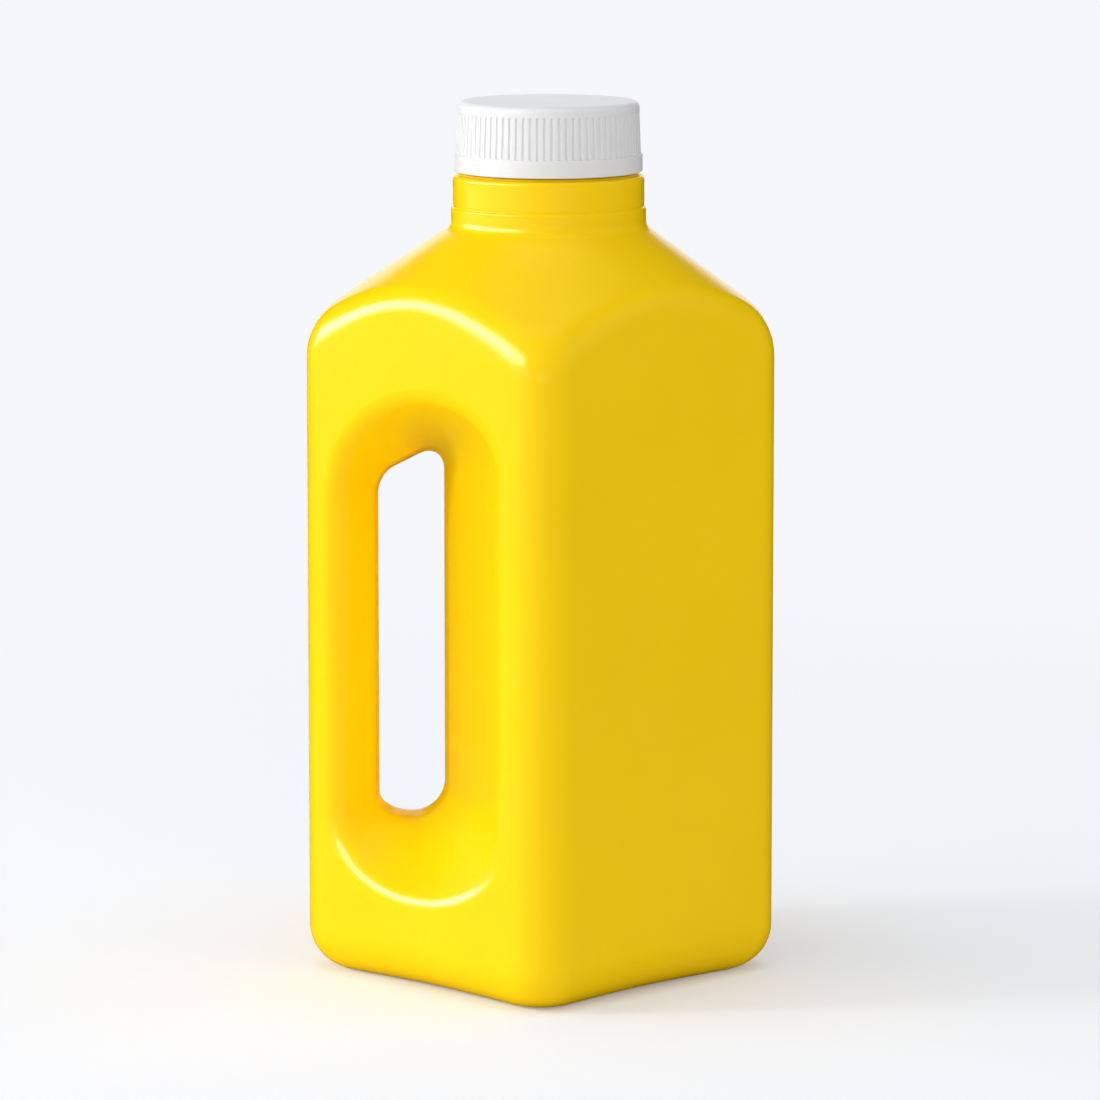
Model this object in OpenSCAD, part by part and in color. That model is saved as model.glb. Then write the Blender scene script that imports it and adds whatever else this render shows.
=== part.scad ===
// Square blow-moulded bottle with a hollow grip through one corner, its ribbed screw cap and the
// sealing liner inside the cap. +Z is up. The origin is at the centre of the base, the grip corner
// points along -X, and the parting plane of the mould is the plane y = 0.

/* [Body] */
// Width across two opposite flat sides
body_w = 102.6; // [90:0.5:120]
// Radius of the four upright corners
corner_r = 12.5; // [9:0.5:16]
// Wall thickness of the blown shell
wall = 1.1; // [0.8:0.1:1.6]
// Radius between the sides and the base
base_round = 13; // [9:0.5:15]
// Width of the flat ring that the bottle stands on
foot_w = 5; // [3:0.5:7]
// Height of the pushed-up middle of the base
push_up = 3.5; // [2:0.5:5]

/* [Shoulder] */
// Height at which the shoulder cone meets the neck
neck_z = 217.1; // [205:1:235]
// Slope of the shoulder cone above the horizontal
slope = 34.8; // [31:0.2:38]
// Radius between the shoulder and the middle of a side
brow_round = 10; // [7:0.5:13]
// Radius between the shoulder and an upright corner
nose_round = 20; // [16:0.5:24]

/* [Neck] */
// Distance of the neck axis from the middle of the base, away from the grip
neck_offset = 2.3; // [0:0.1:4]
// Radius of the lower neck ring
ring_r = 28; // [27:0.1:30]
// Radius between the lower neck ring and the shoulder
neck_round = 4; // [2:0.5:6]
// Height of the lower neck ring above the shoulder cone
ring_h = 5.4; // [4.5:0.1:7]
// Distance that the collar under the cap stands back from the lower neck ring
collar_step = 0.5; // [0.2:0.1:1]
// Height of the collar
collar_h = 8.4; // [6:0.2:11]
// Radius of the collar's upper edge
collar_edge = 1.1; // [0.6:0.1:1.6]
// Height of the groove between the ring and the collar
groove_h = 0.9; // [0.6:0.1:1.3]
// Depth of the groove between the ring and the collar
groove_d = 0.6; // [0.4:0.1:0.8]

/* [Mouth] */
// Radius of the threaded mouth at the root of its thread
mouth_r = 22.6; // [21.5:0.1:23.2]
// Wall of the mouth
mouth_wall = 2.2; // [1.6:0.1:2.8]
// Height of the mouth above the collar
mouth_h = 18.7; // [17:0.1:22]
// Height of the thread's ridge out of the mouth
thread_d = 1.2; // [0.8:0.1:1.3]
// Rise of the thread in one turn
thread_lead = 5; // [4.5:0.1:6]
// Turns of the thread
thread_turns = 1.5; // [1.2:0.1:1.8]

/* [Grip opening] */
// Distance of the opening's inner edge from the middle of the base
eye_near = 28; // [24:0.5:31]
// Clear width of the opening at the parting plane
eye_w = 18.8; // [17:0.2:20]
// Height of the opening's lowest point
eye_z = 46.4; // [42:0.5:55]
// Height of the opening along the grip, up to where its slanting top begins
eye_h = 98.6; // [85:0.5:102]
// Slope of the opening's top edge
eye_slant = 26.6; // [20:0.5:30]
// Depth of the pinched land on each side of the parting plane
land_d = 5.7; // [4:0.1:7]
// Outward flare of the land
land_flare = 1.4; // [0.8:0.1:2]

/* [Recess round the grip opening] */
// Distance of the recess rim from the middle of its side, towards the grip corner
rim_out = 35.5; // [33:0.5:36]
// Distance of the recess rim from the middle of its side, away from the grip corner
rim_in = 35; // [31:0.5:36.5]
// Height of the recess rim's lowest point
rim_z = 27; // [23:0.5:34]
// Height of the recess rim's highest point
rim_top = 172; // [164:0.5:176]
// Rounding of the rim on the three sides away from the grip
rim_round = 4.5; // [3:0.5:6]
// Rounding of the rim on the grip itself
grip_round = 10; // [7:0.5:12]

/* [Cap] */
// Distance that the plain band at the foot of the cap stands out from the ribs
band_step = 0.5; // [0.3:0.1:1]
// Height of the plain band
band_h = 5.1; // [4:0.1:6.5]
// Thickness of the cap's skirt under its flutes, at their top
skirt_wall = 1.5; // [1.2:0.1:2]
// Draft of the ribs: how much wider they are at their foot than at their top
rib_draft = 0.4; // [0.2:0.1:0.6]
// Height of the ribs
rib_h = 12.1; // [10:0.1:14]
// Depth of the flutes between the ribs
rib_d = 0.4; // [0.3:0.05:0.5]
// Width of each rib's crest
rib_w = 1.15; // [0.9:0.05:1.3]
// Number of ribs
rib_count = 80; // [60:1:90]
// Height of the smooth ring above the ribs
crown_h = 3; // [2.6:0.1:4]
// Radius of the cap's upper edge
crown_round = 1.8; // [1.2:0.1:2.2]
// Thickness of the cap's top
top_wall = 1.5; // [1.2:0.1:2]
// Gap between the cap and the collar
cap_gap = 1; // [0.6:0.1:1.4]
// Clearance between the cap's inside and the crest of the thread
thread_fit = 0.4; // [0.3:0.05:0.6]

/* [Liner] */
// Clearance between the liner's edge and the cap
liner_fit = 0.3; // [0.2:0.05:0.5]
// Clearance between the liner and the lip of the mouth
seal_gap = 0.05; // [0.02:0.01:0.1]

/* [Hidden] */

hdpe_yellow = [0.99, 0.83, 0.02];
cap_white = [0.94, 0.94, 0.95];
liner_grey = [0.86, 0.87, 0.88];

// Facets of the shell's outside and inside: steps round one corner, along one side, in an edge
outside_steps = [8, 11, 6];
inside_steps = [5, 7, 4];
tight_steps = 3;
// Facets of the recess round the opening: steps in one of its four corners, and across its rim
recess_steps = 8;
slant_steps = 3;
rim_steps = 4;
thread_steps = 24;
slice_w = 0.02;
crown_steps = 5;
round_fn = 96;

half_w = body_w / 2;
collar_r = ring_r - collar_step;
// Half of the turn between an upright and the shoulder cone
half_turn = (90 - slope) / 2;
ring_z = neck_z + ring_h;
collar_z = ring_z + groove_h;
collar_top = collar_z + collar_h;
lip_z = collar_top + mouth_h;
bore_r = mouth_r - mouth_wall;
cap_z = collar_top + cap_gap;
rib_z = cap_z + band_h;
crown_z = rib_z + rib_h;
cap_top = crown_z + crown_h;
cap_ceiling = cap_top - top_wall;
cap_bore = mouth_r + thread_d + thread_fit;
rib_top_r = cap_bore + skirt_wall + rib_d;
rib_foot_r = rib_top_r + rib_draft;
band_r = rib_foot_r + band_step;
// How far the recess tools reach beyond the surface that they cut
tool_over = 4;
// Radius that a rounding keeps at the least where the wall is taken off it
least_round = 0.4;
// Small chamfers of the mouth's lip, of the band and of the ledge above it
lip_edge = 0.5;
band_edge = 0.6;
ledge_edge = 0.3;
// Section of the thread's ridge and how far it is rooted in the mouth
thread_root = 2.2;
thread_crest = 0.9;
thread_sink = 0.3;
// Distance from the lip to the end of the thread, and how fast its two ends fade, per turn
thread_start = 3;
thread_fade = 6;
thread_least = 0.15;
thread_z = lip_z - thread_start - thread_lead * thread_turns;
// Where the corners of the opening's outline begin, as shares of its width
eye_foot = 0.3;
eye_shoulder = 0.44;
eye_high = 0.63;
eye_low = 0.24;
eye_temple = 0.28;
// Place of the rim's highest point along its side, and where the rim's corners begin, as shares of its width
rim_peak = 6;
rim_foot = 0.3;
rim_shoulder = 0.67;
rim_temple = 0.86;
// How far the rim's rounding runs out over the side, and how far it has lifted off the side there
rim_reach = 3;
rim_lift = 0.2;

// Radius of the rounded square at the angle a, drawn in by g
function wall_r(a, g) =
    let (w = half_w - g, c = max(corner_r - g, least_round))
    let (turn = a - 45 - 90 * round((a - 45) / 90), off = abs(turn))
    w * tan(off) <= w - c ? w / cos(off)
        : let (d = (w - c) * sqrt(2), b = 45 - off)
          d * cos(b) + sqrt(c * c - pow(d * sin(b), 2));

// Angles of the meridians: close together round the corners, wider along the sides
corner_half = 45 - atan((half_w - corner_r) / half_w);
function meridians(steps) = [for (q = [0:3]) each concat(
    [for (i = [0:steps[0] - 1]) 90 * q - corner_half + 2 * corner_half * i / steps[0]],
    [for (i = [0:steps[1] - 1]) 90 * q + corner_half + (90 - 2 * corner_half) * i / steps[1]])];

// An arc of n steps round a centre in the meridian plane, with a share of the neck's offset
function arc(r, z, size, from, to, n, share) =
    [for (i = [0:n]) let (t = from + (to - from) * i / n) [r + size * cos(t), z + size * sin(t), share]];

// Base of one meridian: the pushed-up middle, the flat foot and the round edge
function base_points(a, g, n) =
    let (r = wall_r(a, 0), edge = r - base_round, k = edge / (half_w - base_round))
    concat(
    [for (i = [0:2]) [edge - k * (foot_w + push_up * (2 - i)), g + push_up * (1 + cos(90 * i)) / 2, 0]],
    [[edge, g, 0]],
    [for (p = arc(edge, base_round, base_round - g, -90, 0, n, 0)) if (p[1] > g) p]);

// Share of the neck's offset at the radius p of a meridian whose wall is at r
function lean(r, p) = min(max((r - p) / (r - ring_r), 0), 1);

// Shoulder of one meridian: the edge round over the wall, the cone and the round under the neck
function shoulder_points(a, g, n) =
    let (r = wall_r(a, 0), far = (half_w - corner_r) * sqrt(2) + corner_r)
    let (size = brow_round + (nose_round - brow_round) * (r - half_w) / (far - half_w))
    let (z = neck_z - (r - ring_r) * tan(slope) - size * tan(half_turn))
    concat(
        [for (i = [0:n]) let (t = (90 - slope) * i / n)
            [r - size + (size - g) * cos(t), z + (size - g) * sin(t), lean(r, r - size + size * cos(t))]],
        [for (i = [0:tight_steps]) let (t = (90 - slope) * (1 - i / tight_steps))
            [ring_r + neck_round - (neck_round + g) * cos(t),
             neck_z + neck_round * tan(half_turn) - (neck_round + g) * sin(t), 1]]);

// Neck of the outside: ring, groove, collar and mouth
neck_outside = concat(
    [[ring_r, ring_z, 1], [ring_r - groove_d, ring_z + groove_h / 2, 1], [collar_r, collar_z, 1]],
    arc(collar_r - collar_edge, collar_top - collar_edge, collar_edge, 0, 90, tight_steps, 1),
    [[mouth_r, collar_top, 1], [mouth_r, lip_z - lip_edge, 1], [mouth_r - lip_edge, lip_z, 1]]);

// Neck of the inside, which follows the collar with the blown wall and then narrows to the mouth
neck_inside = [
    [ring_r - groove_d - wall, ring_z, 1],
    [ring_r - groove_d - wall, collar_top - wall - collar_edge, 1],
    [collar_r - wall - collar_edge, collar_top - wall, 1],
    [bore_r, collar_top - wall, 1],
    [bore_r, lip_z + tool_over, 1]];

// Closed solid through one row of points for each meridian
module meridian_solid(angles, rows, floor_z) {
    n = len(rows);
    m = len(rows[0]);
    points = concat([for (j = [0:n - 1]) each [for (p = rows[j])
        [p[0] * cos(angles[j]) + p[2] * neck_offset, p[0] * sin(angles[j]), p[1]]]],
        [[0, 0, floor_z], [neck_offset, 0, rows[0][m - 1][1]]]);
    faces = [for (j = [0:n - 1]) let (a = j * m, b = ((j + 1) % n) * m) each concat(
        [for (i = [0:m - 2]) each [[a + i, a + i + 1, b + i], [b + i, a + i + 1, b + i + 1]]],
        [[n * m, a, b], [n * m + 1, b + m - 1, a + m - 1]])];
    polyhedron(points, faces, convexity = 10);
}

module outer_form() {
    angles = meridians(outside_steps);
    n = outside_steps[2];
    meridian_solid(angles, [for (a = angles)
        concat(base_points(a, 0, n), shoulder_points(a, 0, n), neck_outside)], push_up);
}

module inner_form() {
    angles = meridians(inside_steps);
    n = inside_steps[2];
    meridian_solid(angles, [for (a = angles)
        concat(base_points(a, wall, n), shoulder_points(a, wall, n), neck_inside)], push_up + wall);
}

// Corner of an outline: an elliptical arc of n steps from p to q whose tangents meet at v
function bend(p, v, q, n = recess_steps) = [for (i = [0:n])
    let (t = i / n, a = (1 - t) * (1 - t), b = sqrt(2) * t * (1 - t), c = t * t)
    (a * p + b * v + c * q) / (a + b + c)];

// Outline of the opening in x and z, grown by g, with a top edge that slants up towards the body
function eye_outline(g) =
    let (x0 = -eye_near - eye_w - g, x1 = -eye_near + g, z0 = eye_z - g, k = tan(eye_slant))
    let (top = eye_z + eye_h + g / cos(eye_slant) - g * k, w = x1 - x0)
    let (high = [x0 + eye_high * w, top + eye_high * w * k], low = [x0 + eye_low * w, top + eye_low * w * k])
    concat(
        bend([x0, z0 + eye_foot * w], [x0, z0], [x0 + w / 2, z0]),
        bend([x0 + w / 2, z0], [x1, z0], [x1, z0 + w / 2]),
        bend([x1, top + w * k - eye_shoulder * w], [x1, top + w * k], high),
        [for (i = [1:slant_steps]) high + (low - high) * i / (slant_steps + 1)],
        bend(low, [x0, top], [x0, top - eye_temple * w], recess_steps - slant_steps));

// Outline of the recess rim on its side, as distance along the side and height, grown by g
function rim_outline(g) =
    let (u0 = -rim_out - g, u1 = rim_in + g, z0 = rim_z - g, z1 = rim_top + g)
    let (mid = (u0 + u1) / 2, a = rim_peak - u0, b = u1 - rim_peak)
    concat(
        bend([u0, z0 + rim_foot * (u1 - u0)], [u0, z0], [mid, z0]),
        bend([mid, z0], [u1, z0], [u1, z0 + rim_foot * (u1 - u0)]),
        bend([u1, z1 - rim_shoulder * b], [u1, z1], [rim_peak, z1]),
        bend([rim_peak, z1], [u0, z1], [u0, z1 - rim_temple * a]));

function unit(v) = v / norm(v);
// Place on the side that faces -x and -y: u along the side, z up, out away from the bottle
function on_side(u, z, out) = [(u - half_w - out) / sqrt(2), (-u - half_w - out) / sqrt(2), z];

// Rings of one half of the recess, from beyond the side to the land at the opening
function recess_rings(g) =
    let (rim = rim_outline(g), eye = eye_outline(g + land_flare), n = len(rim))
    let (land = [for (p = eye) [p[0], -land_d, p[1]]])
    let (sharp = [for (p = rim) on_side(p[0], p[1], -g)])
    let (away = [for (i = [0:n - 1]) let (t = unit(rim[(i + 1) % n] - rim[(i + n - 1) % n])) [t[1], -t[0]]])
    let (inner = [for (i = [0:n - 1]) sharp[i] + unit(land[i] - sharp[i])
        * (rim_round + (grip_round - rim_round) * pow(max(-away[i][0], 0), 2))])
    let (outer = [for (i = [0:n - 1]) on_side(rim[i][0] + rim_reach * away[i][0],
        rim[i][1] + rim_reach * away[i][1], rim_lift - g)])
    concat(
        [[for (i = [0:n - 1]) outer[i] + on_side(0, 0, tool_over) - on_side(0, 0, 0)]],
        [for (k = [rim_steps:-1:0]) let (t = k / rim_steps) [for (i = [0:n - 1])
            (1 - t) * (1 - t) * inner[i] + 2 * t * (1 - t) * sharp[i] + t * t * outer[i]]],
        [land]);

// Tool that cuts both recesses and the opening between them, grown by g
module recess_tool(g) {
    front = recess_rings(g);
    k = len(front);
    n = len(front[0]);
    rings = concat(front, [[for (p = eye_outline(g)) [p[0], 0, p[1]]]],
        [for (i = [k - 1:-1:0]) [for (p = front[i]) [p[0], -p[1], p[2]]]]);
    faces = concat(
        [for (r = [0:len(rings) - 2]) for (i = [0:n - 1])
            let (a = r * n + i, b = r * n + (i + 1) % n) each [[a, b, a + n], [b, b + n, a + n]]],
        [[for (i = [n - 1:-1:0]) i]],
        [[for (i = [0:n - 1]) (len(rings) - 1) * n + i]]);
    polyhedron([for (r = rings) each r], faces, convexity = 10);
}

// Ridge of the thread: a right-hand helix of short hulls round the mouth, which fades out at its ends
module thread_slice(turn) {
    end = min(turn, thread_turns - turn);
    size = min(1, thread_fade * end + thread_least) * thread_d;
    translate([neck_offset, 0, thread_z + thread_lead * turn])
        rotate([90, 0, 360 * turn])
            linear_extrude(height = slice_w, center = true)
                polygon([
                    [mouth_r - thread_sink, -thread_root / 2],
                    [mouth_r + size, -thread_crest / 2],
                    [mouth_r + size, thread_crest / 2],
                    [mouth_r - thread_sink, thread_root / 2]]);
}

module mouth_thread() {
    last = round(thread_steps * thread_turns);
    for (i = [0:last - 1]) hull() {
        thread_slice(thread_turns * i / last);
        thread_slice(thread_turns * (i + 1) / last);
    }
}

// Blown shell with its hollow grip, neck and threaded mouth
module bottle() {
    color(hdpe_yellow) union() {
        difference() {
            outer_form();
            recess_tool(0);
            difference() {
                inner_form();
                recess_tool(wall);
            }
        }
        mouth_thread();
    }
}

// Outline of the cap's shell from its axis out, without the ribs
cap_outline = concat(
    [[0, cap_ceiling], [cap_bore, cap_ceiling], [cap_bore, cap_z]],
    [[band_r - band_edge, cap_z], [band_r, cap_z + band_edge]],
    [[band_r, rib_z - ledge_edge], [band_r - ledge_edge, rib_z],
     [rib_foot_r - rib_d, rib_z], [rib_top_r - rib_d, crown_z], [rib_top_r, crown_z]],
    [for (i = [0:crown_steps]) let (t = 90 * i / crown_steps)
        [rib_top_r - crown_round * (1 - cos(t)), cap_top - crown_round * (1 - sin(t))]],
    [[0, cap_top]]);

// Ribs of the cap, rooted in its wall and cut to the slight taper of its skirt
module cap_ribs() {
    pitch = 360 / rib_count;
    half = rib_w / rib_foot_r * 90 / PI;
    root = cap_bore + skirt_wall / 2;
    intersection() {
        translate([0, 0, rib_z]) linear_extrude(height = rib_h)
            polygon([for (i = [0:rib_count - 1]) each [
                for (p = [[cap_bore, -half], [rib_foot_r + 1, -half], [rib_foot_r + 1, half], [cap_bore, half]])
                [p[0] * cos(pitch * i + p[1]), p[0] * sin(pitch * i + p[1])]]]);
        rotate_extrude($fn = round_fn)
            polygon([[root, rib_z], [rib_foot_r, rib_z], [rib_top_r, crown_z], [root, crown_z]]);
    }
}

// Ribbed screw cap, moulded in one piece with the plain band at its foot
module cap() {
    color(cap_white) translate([neck_offset, 0, 0]) {
        rotate_extrude($fn = round_fn) polygon(cap_outline);
        cap_ribs();
    }
}

// Foam disc that seals the mouth
module liner() {
    color(liner_grey) translate([neck_offset, 0, lip_z + seal_gap])
        cylinder(r = cap_bore - liner_fit, h = cap_ceiling - lip_z - seal_gap, $fn = round_fn);
}

bottle();
cap();
liner();
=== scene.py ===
"""Looks of a square yellow bottle with a hollow grip through one corner and a ribbed white cap.

All the sizes below are millimetres in the CAD model's own frame, and they repeat its named values.
"""

import math

import bpy
import numpy as np
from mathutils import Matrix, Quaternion, Vector
from mathutils.bvhtree import BVHTree


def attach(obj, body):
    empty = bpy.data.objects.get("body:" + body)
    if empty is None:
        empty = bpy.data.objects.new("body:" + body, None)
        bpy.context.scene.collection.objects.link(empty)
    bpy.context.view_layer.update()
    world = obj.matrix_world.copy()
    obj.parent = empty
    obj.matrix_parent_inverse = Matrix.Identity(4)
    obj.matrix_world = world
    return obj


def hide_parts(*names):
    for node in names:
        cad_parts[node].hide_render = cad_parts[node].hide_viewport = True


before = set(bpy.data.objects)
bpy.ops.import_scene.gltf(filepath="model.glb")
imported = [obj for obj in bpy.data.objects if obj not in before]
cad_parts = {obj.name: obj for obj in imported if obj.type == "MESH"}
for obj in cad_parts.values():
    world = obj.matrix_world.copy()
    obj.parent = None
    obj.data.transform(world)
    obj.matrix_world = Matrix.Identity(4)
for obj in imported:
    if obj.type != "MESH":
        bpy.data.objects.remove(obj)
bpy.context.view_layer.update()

MM = 0.001

# Body and shoulder
BODY_W, CORNER_R, WALL, BASE_ROUND, FOOT_W, PUSH_UP = 102.6, 12.5, 1.1, 13.0, 5.0, 3.5
NECK_Z, SLOPE, BROW_ROUND, NOSE_ROUND = 217.1, 34.8, 10.0, 20.0
# Neck and mouth
NECK_OFFSET, RING_R, NECK_ROUND, RING_H = 2.3, 28.0, 4.0, 5.4
COLLAR_R, COLLAR_H, COLLAR_EDGE, GROOVE_H, GROOVE_D = 27.5, 8.4, 1.1, 0.9, 0.6
MOUTH_R, MOUTH_WALL, MOUTH_H = 22.6, 2.2, 18.7
BEAD_R, BEAD_H, BEAD_FOOT, BEAD_BEVEL = 26.1, 0.75, 0.1, 0.9
THREAD_D, THREAD_LEAD, THREAD_TURNS, THREAD_START = 1.2, 5.0, 1.5, 3.0
THREAD_BASE, THREAD_CREST = 0.97, 0.45
# Grip opening and the recess round it
EYE_NEAR, EYE_W, EYE_Z, EYE_H, EYE_SLANT = 28.0, 18.8, 46.4, 98.6, 26.6
LAND_D, LAND_FLARE, LAND_ROUND = 5.7, 1.4, 2.0
RIM_OUT, RIM_IN, RIM_Z, RIM_TOP, RIM_ROUND, GRIP_ROUND = 35.5, 35.0, 27.0, 172.0, 4.5, 10.0
RIM_PEAK, RIM_REACH, GRIP_LEAN, GRIP_SHARE = 6.0, 3.0, 3.5, 0.75
# Cap
BAND_R, BAND_H, RIB_FOOT_R, RIB_TOP_R, RIB_H, RIB_D = 27.0, 5.1, 26.5, 26.1, 12.1, 0.4
RIB_W, RIB_COUNT, CROWN_H, CROWN_ROUND, TOP_WALL = 1.15, 80, 3.0, 1.8, 1.5
CAP_GAP, THREAD_FIT, CAP_THREAD_D, CAP_THREAD_DROP = 1.0, 0.4, 1.0, 1.6

HALF_W = BODY_W / 2
HALF_TURN = math.radians(90 - SLOPE) / 2
TAN_SLOPE = math.tan(math.radians(SLOPE))
FAR_CORNER = (HALF_W - CORNER_R) * math.sqrt(2) + CORNER_R
RING_Z = NECK_Z + RING_H
COLLAR_Z = RING_Z + GROOVE_H
COLLAR_TOP = COLLAR_Z + COLLAR_H
LIP_Z = COLLAR_TOP + MOUTH_H
BORE_R = MOUTH_R - MOUTH_WALL
NECK_BORE = RING_R - GROOVE_D - WALL
CAP_Z = COLLAR_TOP + CAP_GAP
RIB_Z = CAP_Z + BAND_H
CROWN_Z = RIB_Z + RIB_H
CAP_TOP = CROWN_Z + CROWN_H
CAP_CEILING = CAP_TOP - TOP_WALL
CAP_BORE = MOUTH_R + THREAD_D + THREAD_FIT
THREAD_Z = LIP_Z - THREAD_START - THREAD_LEAD * THREAD_TURNS


# ---------------------------------------------------------------- small helpers

def unit(v):
    return v / np.linalg.norm(v, axis=-1, keepdims=True)


def bend(p, v, q, n, first=0):
    """Elliptical arc of n steps from p to q whose tangents meet at v."""
    p, v, q = np.array(p, float), np.array(v, float), np.array(q, float)
    t = np.arange(first, n + 1)[:, None] / n
    a, b, c = (1 - t) ** 2, math.sqrt(2) * t * (1 - t), t * t
    return (a * p + b * v + c * q) / (a + b + c)


def parabola(p, v, q, s):
    """Point at the share s of the parabola from p to q whose tangents meet at v."""
    return (1 - s) ** 2 * p + 2 * s * (1 - s) * v + s * s * q


def rounded(corners, steps):
    """A profile of (radius, height, round) corners, each one rounded over that distance."""
    pts = np.array([c[:2] for c in corners], float)
    out = []
    for i, (r, z, size) in enumerate(corners):
        if size == 0 or i == 0 or i == len(corners) - 1:
            out.append(pts[i][None])
            continue
        before = pts[i] + size * unit(pts[i - 1] - pts[i])
        after = pts[i] + size * unit(pts[i + 1] - pts[i])
        out.append(bend(before, pts[i], after, steps))
    return np.concatenate(out)


def smoothstep(x):
    x = np.clip(x, 0, 1)
    return x * x * (3 - 2 * x)


def grid_triangles(rows, cols, first=0):
    """Triangles of a closed band of rings: rows rings of cols points each."""
    i, j = np.meshgrid(np.arange(rows - 1), np.arange(cols), indexing="ij")
    a = first + i * cols + j
    b = first + i * cols + (j + 1) % cols
    c, d = a + cols, b + cols
    return np.concatenate([np.stack([a, b, c], -1).reshape(-1, 3), np.stack([b, d, c], -1).reshape(-1, 3)])


def fan(ring, centre, flip):
    """Triangles from one closed ring of indices to a centre point."""
    a, b = ring, np.roll(ring, -1)
    c = np.full_like(a, centre)
    return np.stack([b, a, c] if flip else [a, b, c], -1)


def outward(points, tris):
    """The triangles turned so that the closed form's volume is positive."""
    a, b, c = (points[tris[:, k]] for k in range(3))
    volume = np.einsum("ij,ij->i", a, np.cross(b, c)).sum()
    return tris if volume > 0 else tris[:, ::-1]


def lathe_form(rings, low, high):
    """A closed form through the rings (rows, cols, 3), with a point at its low and its high end."""
    rows, cols = rings.shape[:2]
    points = np.concatenate([rings.reshape(-1, 3), [low, high]])
    last = (rows - 1) * cols
    tris = np.concatenate([
        grid_triangles(rows, cols),
        fan(np.arange(cols), rows * cols, True),
        fan(np.arange(last, last + cols), rows * cols + 1, False),
    ])
    return points, outward(points, tris)


def vertex_normals(points, tris):
    a, b, c = (points[tris[:, k]] for k in range(3))
    face = np.cross(b - a, c - a)
    total = np.zeros_like(points)
    for k in range(3):
        np.add.at(total, tris[:, k], face)
    return unit(total + 1e-12)


def new_object(name, points, faces):
    mesh = bpy.data.meshes.new(name)
    mesh.from_pydata((np.asarray(points) * MM).tolist(), [], np.asarray(faces).tolist())
    mesh.update()
    obj = bpy.data.objects.new(name, mesh)
    bpy.context.scene.collection.objects.link(obj)
    return obj


# ---------------------------------------------------------------- the bottle's own forms

def wall_r(a, g):
    """Radius of the rounded square at the angles a, in degrees, drawn in by g."""
    w, c = HALF_W - g, max(CORNER_R - g, 0.4)
    off = np.radians(np.abs(a - 45 - 90 * np.round((a - 45) / 90)))
    d, b = (w - c) * math.sqrt(2), math.radians(45) - off
    flat = w / np.cos(off)
    corner = d * np.cos(b) + np.sqrt(np.maximum(c * c - (d * np.sin(b)) ** 2, 0))
    return np.where(w * np.tan(off) <= w - c, flat, corner)


def meridians(corner_steps, side_steps):
    half = 45 - math.degrees(math.atan((HALF_W - CORNER_R) / HALF_W))
    out = []
    for q in range(4):
        out += [90 * q - half + 2 * half * i / corner_steps for i in range(corner_steps)]
        out += [90 * q + half + (90 - 2 * half) * i / side_steps for i in range(side_steps)]
    return np.array(out)


def arc(r, z, size, start, end, n):
    t = np.radians(start + (end - start) * np.arange(n + 1) / n)
    return np.stack([r + size * np.cos(t), z + size * np.sin(t)], -1)


def body_rows(angles, g, steps, gap):
    """One profile of (radius, height, share of the neck's offset) for each meridian, base to neck."""
    rows = []
    for r in wall_r(angles, 0):
        edge = r - BASE_ROUND
        k = edge / (HALF_W - BASE_ROUND)
        s = np.linspace(0, 2, steps + 1)
        dome = np.stack([edge - k * (FOOT_W + PUSH_UP * (2 - s)),
                         g + PUSH_UP * (1 + np.cos(s * math.pi / 2)) / 2], -1)
        heel = arc(edge, BASE_ROUND, BASE_ROUND - g, -90, 0, 2 * steps)
        heel[:, 1] = np.maximum(heel[:, 1], g)
        size = BROW_ROUND + (NOSE_ROUND - BROW_ROUND) * (r - HALF_W) / (FAR_CORNER - HALF_W)
        z = NECK_Z - (r - RING_R) * TAN_SLOPE - size * math.tan(HALF_TURN)
        brow = arc(r - size, z, size - g, 0, 90 - SLOPE, 2 * steps)
        throat = arc(RING_R + NECK_ROUND, NECK_Z + NECK_ROUND * math.tan(HALF_TURN), -NECK_ROUND - g,
                     90 - SLOPE, 0, steps)
        walls = np.linspace(heel[-1], brow[0], gap + 2)[1:-1]
        cone = np.linspace(brow[-1], throat[0], gap + 2)[1:-1]
        profile = np.concatenate([dome, heel, walls, brow, cone, throat])
        share = np.clip((r - profile[:, 0] - g * 0.5) / (r - RING_R), 0, 1)
        share[profile[:, 1] < z] = 0
        share[-steps - 1:] = 1
        rows.append(np.column_stack([profile, share]))
    return np.array(rows)


def place(angles, rows):
    """Points of the profiles (cols, rows, 3) as rings (rows, cols, 3)."""
    a = np.radians(angles)[:, None]
    x = rows[..., 0] * np.cos(a) + rows[..., 2] * NECK_OFFSET
    y = rows[..., 0] * np.sin(a)
    return np.stack([x, y, rows[..., 1]], -1).transpose(1, 0, 2)


def helix_ridge(angles, z, start_z, turns, height):
    """Height of a helical ridge at the angles and heights, with run-outs at both its ends."""
    out = np.zeros(np.broadcast(angles, z).shape)
    for k in range(-3, 4):
        turn = angles / 360 + k
        size = np.clip(np.minimum(6 * (turn - turns[0]), 6 * (turns[1] - turn)) + 0.15, 0, 1)
        size = np.where((turn >= turns[0]) & (turn <= turns[1]), smoothstep(size), 0)
        off = np.abs(z - start_z - THREAD_LEAD * turn)
        flank = (THREAD_BASE - off) / (THREAD_BASE - THREAD_CREST)
        out = np.maximum(out, height * size * smoothstep(flank))
    return out


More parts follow.
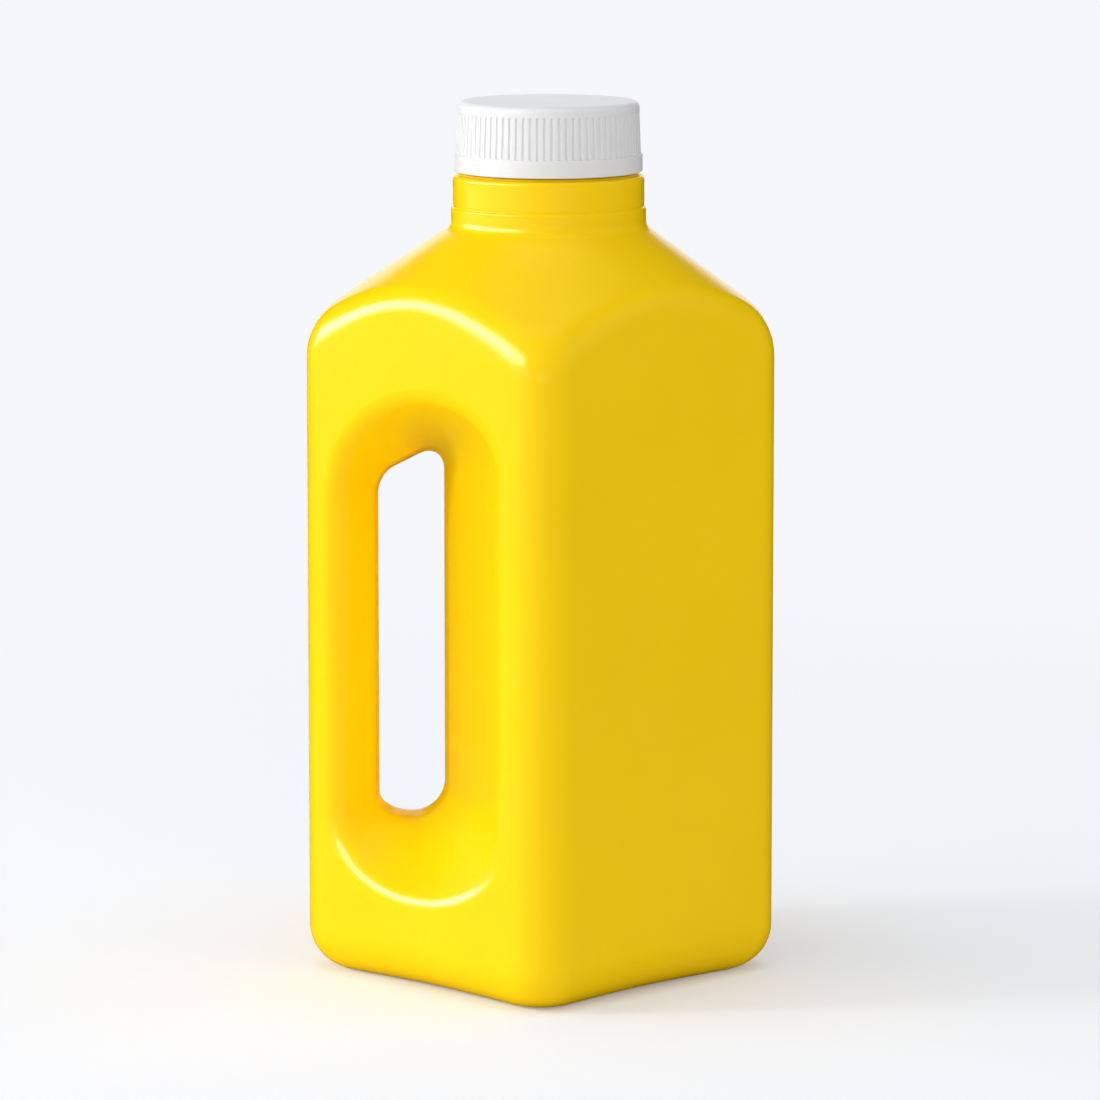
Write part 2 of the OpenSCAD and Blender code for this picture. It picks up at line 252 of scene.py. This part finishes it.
def outer_form():
    angles = meridians(22, 26)
    body = body_rows(angles, 0, 9, 9)
    neck = rounded([
        (RING_R, NECK_Z + NECK_ROUND * math.tan(HALF_TURN), 0),
        (RING_R, RING_Z, 0.32),
        (RING_R - GROOVE_D, RING_Z + GROOVE_H / 2, 0.15),
        (COLLAR_R, COLLAR_Z, 0.3),
        (COLLAR_R, COLLAR_TOP, COLLAR_EDGE),
        (BEAD_R, COLLAR_TOP + BEAD_FOOT, 0.3),
        (BEAD_R - BEAD_BEVEL, COLLAR_TOP + BEAD_H, 0.4),
        (MOUTH_R, COLLAR_TOP + BEAD_H, 0.4),
        (MOUTH_R, COLLAR_TOP + 2, 0),
    ], 7)[1:]
    mouth_z = np.arange(COLLAR_TOP + 2.3, LIP_Z - 0.6, 0.27)
    mouth = np.column_stack([np.full_like(mouth_z, MOUTH_R), mouth_z])
    lip = rounded([(MOUTH_R, LIP_Z - 0.7, 0), (MOUTH_R, LIP_Z, 0.5), (BORE_R - 1, LIP_Z, 0)], 6)
    profile = np.concatenate([neck, mouth, lip])
    cols = np.repeat(profile[None], len(angles), 0)
    cols[..., 0] += helix_ridge(angles[:, None], cols[..., 1], THREAD_Z, (0, THREAD_TURNS), THREAD_D)
    cols = np.concatenate([cols, np.ones(cols.shape[:2] + (1,))], -1)
    rows = np.concatenate([body, cols], 1)
    rings = place(angles, rows)
    return lathe_form(rings, (0, 0, PUSH_UP), (NECK_OFFSET, 0, LIP_Z))


def inner_form():
    angles = meridians(10, 12)
    body = body_rows(angles, WALL, 4, 5)
    neck = rounded([
        (RING_R - WALL, NECK_Z + 3, 0), (RING_R - WALL, RING_Z - 1, 0.5), (NECK_BORE, RING_Z, 0.5),
        (NECK_BORE, COLLAR_TOP - WALL - COLLAR_EDGE, 0.5),
        (COLLAR_R - WALL - COLLAR_EDGE, COLLAR_TOP - WALL, 0.5), (BORE_R, COLLAR_TOP - WALL, 0.8),
        (BORE_R, LIP_Z - 0.5, 0.2), (BORE_R + 0.5, LIP_Z, 0.2), (BORE_R + 4.5, LIP_Z + 4, 0),
    ], 4)[1:]
    cols = np.repeat(np.column_stack([neck, np.ones(len(neck))])[None], len(angles), 0)
    rings = place(angles, np.concatenate([body, cols], 1))
    return lathe_form(rings, (0, 0, PUSH_UP + WALL), (NECK_OFFSET, 0, LIP_Z + 4))


def eye_outline(g, n, slant):
    x0, x1, z0 = -EYE_NEAR - EYE_W - g, -EYE_NEAR + g, EYE_Z - g
    k = math.tan(math.radians(EYE_SLANT))
    top = EYE_Z + EYE_H + g / math.cos(math.radians(EYE_SLANT)) - g * k
    w = x1 - x0
    high = np.array([x0 + 0.63 * w, top + 0.63 * w * k])
    low = np.array([x0 + 0.24 * w, top + 0.24 * w * k])
    straight = [high + (low - high) * i / (slant + 1) for i in range(1, slant + 1)]
    return np.concatenate([
        bend((x0, z0 + 0.3 * w), (x0, z0), (x0 + 0.5 * w, z0), n),
        bend((x0 + 0.5 * w, z0), (x1, z0), (x1, z0 + 0.5 * w), n, first=1),
        bend((x1, top + w * k - 0.44 * w), (x1, top + w * k), high, n),
        np.array(straight),
        bend(low, (x0, top), (x0, top - 0.28 * w), n - slant),
    ])


def rim_outline(g, n):
    u0, u1, z0, z1 = -RIM_OUT - g, RIM_IN + g, RIM_Z - g, RIM_TOP + g
    a, b, w = RIM_PEAK - u0, u1 - RIM_PEAK, u1 - u0
    return np.concatenate([
        bend((u0, z0 + 0.3 * w), (u0, z0), ((u0 + u1) / 2, z0), n),
        bend(((u0 + u1) / 2, z0), (u1, z0), (u1, z0 + 0.3 * w), n, first=1),
        bend((u1, z1 - 0.67 * b), (u1, z1), (RIM_PEAK, z1), n),
        bend((RIM_PEAK, z1), (u0, z1), (u0, z1 - 0.86 * a), n + 1, first=1),
    ])


def on_side(u, z, out):
    """Place on the side that faces -x and -y: u along the side, z up, out away from the bottle."""
    x, y = (u - HALF_W - out) / math.sqrt(2), (-u - HALF_W - out) / math.sqrt(2)
    return np.stack(np.broadcast_arrays(x, y, z), -1)


def recess_tool(g, n, slant, rim_steps, wall_steps, land_steps, lift):
    """What both recesses and the opening between them take away, grown by g."""
    rim = rim_outline(g, n)
    eye, through = eye_outline(g + LAND_FLARE, n, slant), eye_outline(g, n, slant)
    land = np.stack([eye[:, 0], np.full(len(eye), -LAND_D), eye[:, 1]], -1)
    middle = np.stack([through[:, 0], np.zeros(len(eye)), through[:, 1]], -1)
    sharp = on_side(rim[:, 0], rim[:, 1], -g)
    t = unit(np.roll(rim, -1, 0) - np.roll(rim, 1, 0))
    away = np.stack([t[:, 1], -t[:, 0]], -1)
    size = RIM_ROUND + (GRIP_ROUND - RIM_ROUND) * np.maximum(-away[:, 0], 0) ** 2
    inner = sharp + unit(land - sharp) * size[:, None]
    outer = on_side(rim[:, 0] + RIM_REACH * away[:, 0], rim[:, 1] + RIM_REACH * away[:, 1], lift - g)
    crest = on_side(rim[:, 0] - GRIP_LEAN * away[:, 0], rim[:, 1] - GRIP_LEAN * away[:, 1], -g)
    wall_end = land + unit(inner - land) * LAND_ROUND
    land_end = land + unit(middle - land) * LAND_ROUND
    grip = np.maximum(-away[:, :1], 0) ** 2

    def eased(ring, t):
        """The ring, which along the grip lies on one wide curve from the rim to the land."""
        return ring + grip * (parabola(outer, crest, wall_end, t) - ring)

    rings = [outer + (on_side(0, 0, 4) - on_side(0, 0, 0))]
    for k in range(rim_steps, -1, -1):
        s = k / rim_steps
        rings.append(eased(parabola(inner, sharp, outer, s), GRIP_SHARE * (1 - s)))
    for k in range(1, wall_steps):
        s = k / wall_steps
        rings.append(eased(inner + (wall_end - inner) * s, GRIP_SHARE + (1 - GRIP_SHARE) * s))
    for k in range(land_steps + 1):
        rings.append(parabola(wall_end, land, land_end, k / land_steps))
    edge = middle + (land_end - middle) * 0.3
    back = edge * [1, -1, 1]
    for k in range(1, land_steps):
        rings.append(parabola(edge, middle, back, k / land_steps / 2))
    rings.append(parabola(edge, middle, back, 0.5))
    front = np.array(rings)
    rings = np.concatenate([front, front[-2::-1] * [1, -1, 1]])
    return lathe_form(rings, rings[0].mean(0), rings[-1].mean(0))


# ---------------------------------------------------------------- cutting and smooth shading

def cut(kept, taken):
    """kept minus taken, as a new mesh on kept. Both objects share one list of material slots."""
    mod = kept.modifiers.new("cut", "BOOLEAN")
    mod.operation, mod.solver, mod.object = "DIFFERENCE", "MANIFOLD", taken
    done = bpy.data.meshes.new_from_object(kept.evaluated_get(bpy.context.evaluated_depsgraph_get()))
    kept.modifiers.clear()
    kept.data = done
    bpy.data.objects.remove(taken)


def shade_from(obj, sources, signs):
    """Each corner of the cut mesh takes its normal from the smooth form that its face came from.

    A sign of -1 marks a form that was taken away, whose normals are turned round.
    """
    mesh = obj.data
    count = len(mesh.loops)
    loop_vertex = np.empty(count, int)
    mesh.loops.foreach_get("vertex_index", loop_vertex)
    loop_source = np.empty(count, int)
    for p in mesh.polygons:
        loop_source[p.loop_start:p.loop_start + p.loop_total] = p.material_index
    on_outer, on_recess = (np.zeros(len(mesh.vertices), bool) for _ in range(2))
    on_outer[loop_vertex[loop_source == 0]] = True
    on_recess[loop_vertex[loop_source == 1]] = True
    crossing = (on_outer & on_recess)[loop_vertex]
    loop_source[crossing & (loop_source == 1)] = 0
    normals = np.zeros((count, 3))
    for k, ((points, tris), sign) in enumerate(zip(sources, signs)):
        points = points * MM
        vertex_n = vertex_normals(points, tris)
        tree = BVHTree.FromPolygons(points.tolist(), tris.tolist())
        used = np.unique(loop_vertex[loop_source == k])
        found = np.zeros((len(mesh.vertices), 3))
        for v in used:
            where, _, t, _ = tree.find_nearest(mesh.vertices[v].co)
            a, b, c = points[tris[t]]
            e, f, p = b - a, c - a, np.array(where) - a
            ee, ef, ff, pe, pf = e @ e, e @ f, f @ f, p @ e, p @ f
            det = ee * ff - ef * ef
            s, r = ((ff * pe - ef * pf) / det, (ee * pf - ef * pe) / det) if det > 1e-24 else (0.33, 0.33)
            n = vertex_n[tris[t]]
            found[v] = sign * ((1 - s - r) * n[0] + s * n[1] + r * n[2])
        mask = loop_source == k
        normals[mask] = found[loop_vertex[mask]]
    for p in mesh.polygons:
        p.use_smooth = True
    mesh.normals_split_custom_set(unit(normals + 1e-12).tolist())


def make_bottle():
    sources = [
        outer_form(),
        recess_tool(0, 30, 12, 14, 4, 6, 0.01),
        inner_form(),
        recess_tool(WALL, 14, 6, 5, 2, 2, 0.2),
    ]
    marks = [bpy.data.materials.new("mark%d" % k) for k in range(4)]
    objs = []
    for k, (points, tris) in enumerate(sources):
        obj = new_object("bottle_form" if k == 0 else "tool%d" % k, points, tris)
        for m in marks:
            obj.data.materials.append(m)
        obj.data.polygons.foreach_set("material_index", [k] * len(obj.data.polygons))
        objs.append(obj)
    outer, recess, inside, inner_recess = objs
    cut(inside, inner_recess)
    cut(outer, recess)
    cut(outer, inside)
    shade_from(outer, sources, (1, -1, -1, 1))
    outer.data.polygons.foreach_set("material_index", [0] * len(outer.data.polygons))
    outer.data.materials.clear()
    for m in marks:
        bpy.data.materials.remove(m)
    return outer


# ---------------------------------------------------------------- the cap

def make_cap():
    pitch = 360 / RIB_COUNT
    flute_half = pitch / 2 - math.degrees(RIB_W / 2 / RIB_FOOT_R)
    steps = np.array([0, 0.45, 0.75, 0.92, 1.02, 1.15])
    offsets = np.concatenate([-steps[:0:-1], steps]) * flute_half
    offsets = np.append(offsets, pitch / 2)
    depth = np.append(np.clip(1 - np.abs(offsets[:-1] / flute_half) ** 4, 0, 1), 0)
    depth[np.abs(np.abs(offsets / flute_half) - 1.02) < 0.01] = 0.03
    angles = (np.arange(RIB_COUNT)[:, None] * pitch + pitch / 2 + offsets).ravel()
    flute = np.tile(depth, RIB_COUNT)

    top = rounded([(0.5, CAP_TOP, 0), (RIB_TOP_R, CAP_TOP, CROWN_ROUND), (RIB_TOP_R, CROWN_Z + 0.6, 0)], 9)
    top = np.concatenate([[[0.5, CAP_TOP], [8, CAP_TOP], [16, CAP_TOP], [22, CAP_TOP]], top[1:]])
    ribs = [(RIB_TOP_R, CROWN_Z + s) for s in (0.35, 0.15, 0, -0.15, -0.35, -0.6, -0.9)]
    for k in range(1, 8):
        ribs.append((RIB_TOP_R + (RIB_FOOT_R - RIB_TOP_R) * k / 8, CROWN_Z - 0.9 - (RIB_H - 1.2) * k / 8))
    share = [0] * len(top) + [0, 0.02, 0.12, 0.38, 0.7, 0.92, 1] + [1] * 7
    foot = rounded([(RIB_FOOT_R, RIB_Z + 0.5, 0), (RIB_FOOT_R, RIB_Z, 0.15), (BAND_R, RIB_Z, 0.22),
                    (BAND_R, CAP_Z, 0.6), (CAP_BORE + 0.3, CAP_Z, 0.4), (CAP_BORE, CAP_Z + 1.2, 0.2),
                    (CAP_BORE, CAP_Z + 1.6, 0)], 4)
    share += [int(x <= RIB_FOOT_R + 0.001 and y > RIB_Z + 0.01) for x, y in foot]
    inside_z = np.arange(CAP_Z + 2, CAP_CEILING - 0.5, 0.45)
    inside = np.column_stack([np.full_like(inside_z, CAP_BORE), inside_z])
    roof = rounded([(CAP_BORE, CAP_CEILING - 0.4, 0), (CAP_BORE, CAP_CEILING, 0.3), (8, CAP_CEILING, 0),
                    (0.5, CAP_CEILING, 0)], 3)
    profile = np.concatenate([top, ribs, foot, inside, roof])
    share = np.array(share + [0] * (len(inside) + len(roof)), float)
    r = profile[:, 0][:, None] - RIB_D * share[:, None] * flute[None]
    first = len(top) + len(ribs) + len(foot)
    last = first + len(inside)
    z = np.broadcast_to(profile[:, 1][:, None], r.shape)
    r[first:last] -= helix_ridge(angles[None], z[first:last], THREAD_Z - CAP_THREAD_DROP, (-0.6, 1.4),
                                 CAP_THREAD_D)
    a = np.radians(angles)[None]
    rings = np.stack([r * np.cos(a) + NECK_OFFSET, r * np.sin(a), z], -1)
    points, tris = lathe_form(rings, (NECK_OFFSET, 0, CAP_TOP), (NECK_OFFSET, 0, CAP_CEILING))
    obj = new_object("cap_ribbed", points, tris)
    for p in obj.data.polygons:
        p.use_smooth = True
    obj.data.normals_split_custom_set_from_vertices(vertex_normals(points, tris).tolist())
    return obj


# ---------------------------------------------------------------- materials

def material(name):
    m = bpy.data.materials.new(name)
    m.use_nodes = True
    return m, m.node_tree.nodes, m.node_tree.links


def noise(nodes, links, coords, scale, detail, roughness=0.5):
    n = nodes.new("ShaderNodeTexNoise")
    n.inputs["Scale"].default_value = scale
    n.inputs["Detail"].default_value = detail
    n.inputs["Roughness"].default_value = roughness
    links.new(coords, n.inputs["Vector"])
    return n.outputs["Fac"]


def spread(nodes, links, value, low, high, start=0.3, end=0.7, smooth=False):
    """The value, which runs from start to end, stretched to run from low to high."""
    n = nodes.new("ShaderNodeMapRange")
    if smooth:
        n.interpolation_type = "SMOOTHSTEP"
    n.inputs["From Min"].default_value, n.inputs["From Max"].default_value = start, end
    n.inputs["To Min"].default_value, n.inputs["To Max"].default_value = low, high
    links.new(value, n.inputs["Value"])
    return n.outputs["Result"]


def tint(nodes, links, value, low, high):
    n = nodes.new("ShaderNodeMix")
    n.data_type = "RGBA"
    n.inputs["A"].default_value, n.inputs["B"].default_value = (*low, 1), (*high, 1)
    links.new(value, n.inputs["Factor"])
    return n.outputs["Result"]


def mix_shaders(nodes, links, factor, a, b):
    n = nodes.new("ShaderNodeMixShader")
    for k, value in enumerate((factor, a, b)):
        links.new(value, n.inputs[k])
    return n.outputs[0]


def emission(nodes, colour):
    n = nodes.new("ShaderNodeEmission")
    n.inputs["Color"].default_value = (*colour, 1)
    return n


def bump(nodes, links, height, distance, strength, normal=None):
    n = nodes.new("ShaderNodeBump")
    n.inputs["Distance"].default_value = distance
    n.inputs["Strength"].default_value = strength
    links.new(height, n.inputs["Height"])
    if normal is not None:
        links.new(normal, n.inputs["Normal"])
    return n.outputs["Normal"]


def plastic(name, low, high, rough, shine, soft, waviness, grain, seam=False):
    """A moulded plastic: slight colour drift, uneven gloss, broad waves, fine grain, and a mould seam."""
    m, nodes, links = material(name)
    shader = nodes["Principled BSDF"]
    coords = nodes.new("ShaderNodeTexCoord").outputs["Object"]
    cloud = spread(nodes, links, noise(nodes, links, coords, 18, 3), 0, 1)
    links.new(tint(nodes, links, cloud, low, high), shader.inputs["Base Color"])
    streak = noise(nodes, links, coords, 60, 4, 0.6)
    links.new(spread(nodes, links, streak, *rough), shader.inputs["Roughness"])
    shader.inputs["IOR"].default_value = shine
    shader.inputs["Subsurface Weight"].default_value = soft[0]
    shader.inputs["Subsurface Radius"].default_value = soft[1]
    shader.inputs["Subsurface Scale"].default_value = soft[2]
    normal = bump(nodes, links, noise(nodes, links, coords, 22, 1), waviness, 1)
    normal = bump(nodes, links, noise(nodes, links, coords, 1400, 2), grain, 1, normal)
    if seam:
        axes = nodes.new("ShaderNodeSeparateXYZ")
        links.new(coords, axes.inputs["Vector"])
        side = nodes.new("ShaderNodeMath")
        side.operation = "ABSOLUTE"
        links.new(axes.outputs["Y"], side.inputs[0])
        line = spread(nodes, links, side.outputs[0], 1.0, 0.0, 0.0, 0.00035, smooth=True)
        normal = bump(nodes, links, line, 0.00012, 1, normal)
    links.new(normal, shader.inputs["Normal"])
    return m


# ---------------------------------------------------------------- the pieces

hdpe = plastic("yellow_plastic", (0.965, 0.625, 0.0005), (0.985, 0.648, 0.0005), (0.2, 0.24), 1.4,
               (0.0, (1.0, 0.7, 0.1), 0.001), 0.00012, 0.0000012, seam=True)
white = plastic("white_plastic", (0.748, 0.755, 0.768), (0.768, 0.775, 0.788), (0.32, 0.4), 1.4,
                (0.1, (1.0, 1.0, 1.0), 0.0008), 0.00002, 0.0000015)
foam = plastic("liner_foam", (0.7, 0.71, 0.72), (0.78, 0.79, 0.8), (0.55, 0.7), 1.4,
               (0.05, (1.0, 1.0, 1.0), 0.0005), 0.00003, 0.00001)

bottle = make_bottle()
bottle.data.materials.append(hdpe)
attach(bottle, "bottle_body")
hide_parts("bottle")

cap = make_cap()
cap.data.materials.append(white)
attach(cap, "cap_body")
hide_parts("cap")

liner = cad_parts["liner"]
liner.material_slots[0].material = foam


# ---------------------------------------------------------------- floor, lights and camera

def light(name, azimuth, elevation, distance, size, radiance, gloss=False, roll=0, colour=(1, 1, 1)):
    """A rectangular light round the object, with the radiance of its face; azimuth 0 is the camera's side.

    Only the gloss sees a light with gloss set, and it sees no other.
    """
    data = bpy.data.lights.new(name, "AREA")
    data.shape = "RECTANGLE"
    data.size, data.size_y = size
    data.energy = math.pi * size[0] * size[1] * radiance
    data.color = colour
    a, e = math.radians(azimuth), math.radians(elevation)
    out = Vector((math.sin(a) * math.cos(e), -math.cos(a) * math.cos(e), math.sin(e)))
    obj = bpy.data.objects.new(name, data)
    obj.location = Vector((0, 0, 0.13)) + distance * out
    facing = (-out).to_track_quat("-Z", "Y")
    obj.rotation_euler = (facing @ Quaternion((0, 0, 1), math.radians(roll))).to_euler()
    obj.visible_glossy, obj.visible_diffuse, obj.visible_camera = gloss, not gloss, False
    bpy.context.scene.collection.objects.link(obj)


BACKGROUND = (0.913, 0.930, 0.965)
WARM = (1.0, 0.955, 0.92)
FLOOR = (0.765, 0.79, 0.845)
FLOOR_GLOW = 0.23
FLOOR_FADE = (0.08, 0.75)  # metres from the object
SKY_LEVELS = (0.62, 0.32)  # in front and behind

floor = new_object("floor", [(-6000, -3000, 0), (6000, -3000, 0), (6000, 9000, 0), (-6000, 9000, 0)],
                   [(0, 1, 2, 3)])
m, nodes, links = material("floor")
floor.data.materials.append(m)
path = nodes.new("ShaderNodeLightPath")

# Near the object: a matt floor with a little glow that only the camera sees, dark in the gloss
matt = nodes["Principled BSDF"]
matt.inputs["Roughness"].default_value = 0.9
in_gloss = tint(nodes, links, path.outputs["Is Glossy Ray"], FLOOR, (0.01, 0.01, 0.01))
links.new(in_gloss, matt.inputs["Base Color"])
share = nodes.new("ShaderNodeMath")
share.operation = "MULTIPLY"
share.inputs[1].default_value = FLOOR_GLOW
links.new(path.outputs["Is Camera Ray"], share.inputs[0])
lift = emission(nodes, BACKGROUND)
links.new(share.outputs[0], lift.inputs["Strength"])
near = nodes.new("ShaderNodeAddShader")
links.new(matt.outputs[0], near.inputs[0])
links.new(lift.outputs[0], near.inputs[1])

# Far from it: the background's colour for the camera, and nothing for other rays
far = mix_shaders(nodes, links, path.outputs["Is Camera Ray"],
                  nodes.new("ShaderNodeBsdfTransparent").outputs[0], emission(nodes, BACKGROUND).outputs[0])
reach = nodes.new("ShaderNodeVectorMath")
reach.operation = "LENGTH"
links.new(nodes.new("ShaderNodeTexCoord").outputs["Object"], reach.inputs[0])
fade = spread(nodes, links, reach.outputs["Value"], 0.0, 1.0, *FLOOR_FADE)
surface = mix_shaders(nodes, links, fade, near.outputs[0], far)
links.new(surface, nodes["Material Output"].inputs["Surface"])

# The world: brighter in front than behind, not seen in the gloss, and the background for the camera
world = bpy.data.worlds.new("studio")
bpy.context.scene.world = world
world.use_nodes = True
world.cycles_visibility.glossy = False
nodes, links = world.node_tree.nodes, world.node_tree.links
path = nodes.new("ShaderNodeLightPath")
facing = nodes.new("ShaderNodeSeparateXYZ")
links.new(nodes.new("ShaderNodeTexCoord").outputs["Generated"], facing.inputs["Vector"])
level = nodes.new("ShaderNodeMix")
level.inputs["B"].default_value = 0.0
links.new(spread(nodes, links, facing.outputs["Y"], *SKY_LEVELS, -1, 1), level.inputs["A"])
links.new(path.outputs["Is Glossy Ray"], level.inputs["Factor"])
sky = nodes["Background"]
sky.inputs["Color"].default_value = (0.98, 0.99, 1.0, 1)
links.new(level.outputs["Result"], sky.inputs["Strength"])
shown = nodes.new("ShaderNodeBackground")
shown.inputs["Color"].default_value = (*BACKGROUND, 1)
seen = mix_shaders(nodes, links, path.outputs["Is Camera Ray"], sky.outputs[0], shown.outputs[0])
links.new(seen, nodes["World Output"].inputs["Surface"])

# The gloss shows one long strip and a white backdrop, as in the photo
light("strip", -76, 21, 2.0, (3.1, 0.65), 13.5, gloss=True, roll=15)
light("backdrop", 180, 18, 2.5, (1.5, 1.8), 1.2, gloss=True)
# The soft lights
light("key", -80, 22, 2.0, (0.34, 0.34), 28)
light("left_back", -105, 8, 2.0, (1.0, 0.5), 6.0)
light("left", -72, 4, 2.0, (1.4, 0.5), 3.7)
light("front_left", -40, 4, 2.0, (1.4, 0.5), 3.2)
light("front", 10, 4, 2.4, (1.6, 0.5), 3.5, colour=WARM)
light("right", 85, 20, 2.0, (2.0, 1.2), 0.82, colour=WARM)
light("top", 0, 90, 2.0, (1.6, 1.6), 1.15)

camera = bpy.data.objects.new("camera", bpy.data.cameras.new("camera"))
camera.data.sensor_width = 36
camera.data.lens = 206.05
camera.data.clip_end = 50
camera.location = (0.0021, -1.8026, 0.3927)
camera.rotation_euler = (math.radians(90 - 8.515), 0, math.radians(-0.02))
bpy.context.scene.collection.objects.link(camera)
bpy.context.scene.camera = camera
bpy.context.scene.view_settings.view_transform = "Standard"
